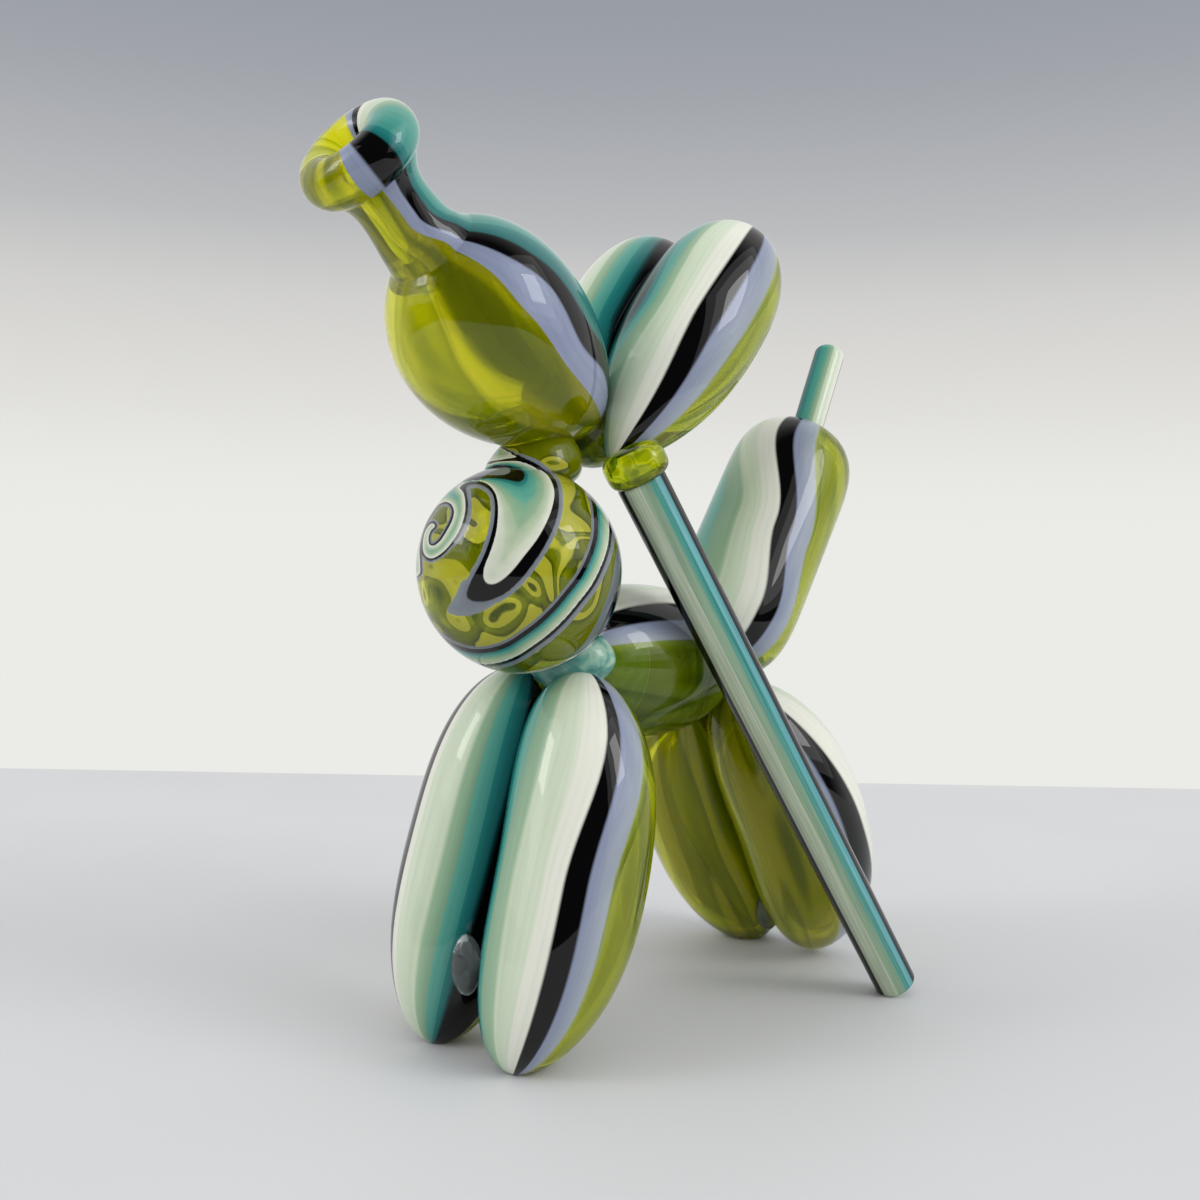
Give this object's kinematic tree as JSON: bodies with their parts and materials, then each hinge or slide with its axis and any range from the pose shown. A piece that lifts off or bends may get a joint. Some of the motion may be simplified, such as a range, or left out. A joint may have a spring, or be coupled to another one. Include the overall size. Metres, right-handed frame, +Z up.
{
  "type": "glass dog ornament",
  "caption": "Blown-glass dog in a twisted-balloon shape, with striped and lime bulbs fused at melted knots, a flared tube nose, a thin tail rod and a slanting prop.",
  "frame": {"origin": "on the surface that the dog stands on, under the middle of its bounding box", "axes": "+Z up, -Y the way the dog faces, +X the dog's left"},
  "size_m": [0.068, 0.1492, 0.1602],
  "materials": {
    "striped_glass": "polished, long stripes in teal, sage, mint, ivory, black, lavender and lime under clear glass",
    "lime_glass": "polished, transparent lime, with black and lavender stripes along the top",
    "swirled_glass": "polished, swirled stripes under a clear casing",
    "teal_glass": "polished, transparent teal",
    "clear_glass": "polished, clear"
  },
  "bodies": {
    "root": {"nose_lip": "striped_glass", "nose_neck": "striped_glass", "head_bulb": "lime_glass", "ear_left": "striped_glass", "ear_right": "striped_glass", "neck_ball": "swirled_glass", "front_leg_left": "striped_glass", "front_leg_right": "striped_glass", "torso": "lime_glass", "hind_leg_left": "lime_glass", "hind_leg_right": "lime_glass", "tail": "striped_glass", "tail_tip": "striped_glass", "prop_cane": "striped_glass", "head_knot": "lime_glass", "neck_knot": "clear_glass", "prop_collar": "lime_glass", "shoulder_knot": "teal_glass", "hip_knot": "teal_glass", "front_leg_bridge": "clear_glass", "hind_leg_bridge": "clear_glass"}
  },
  "joints": []
}
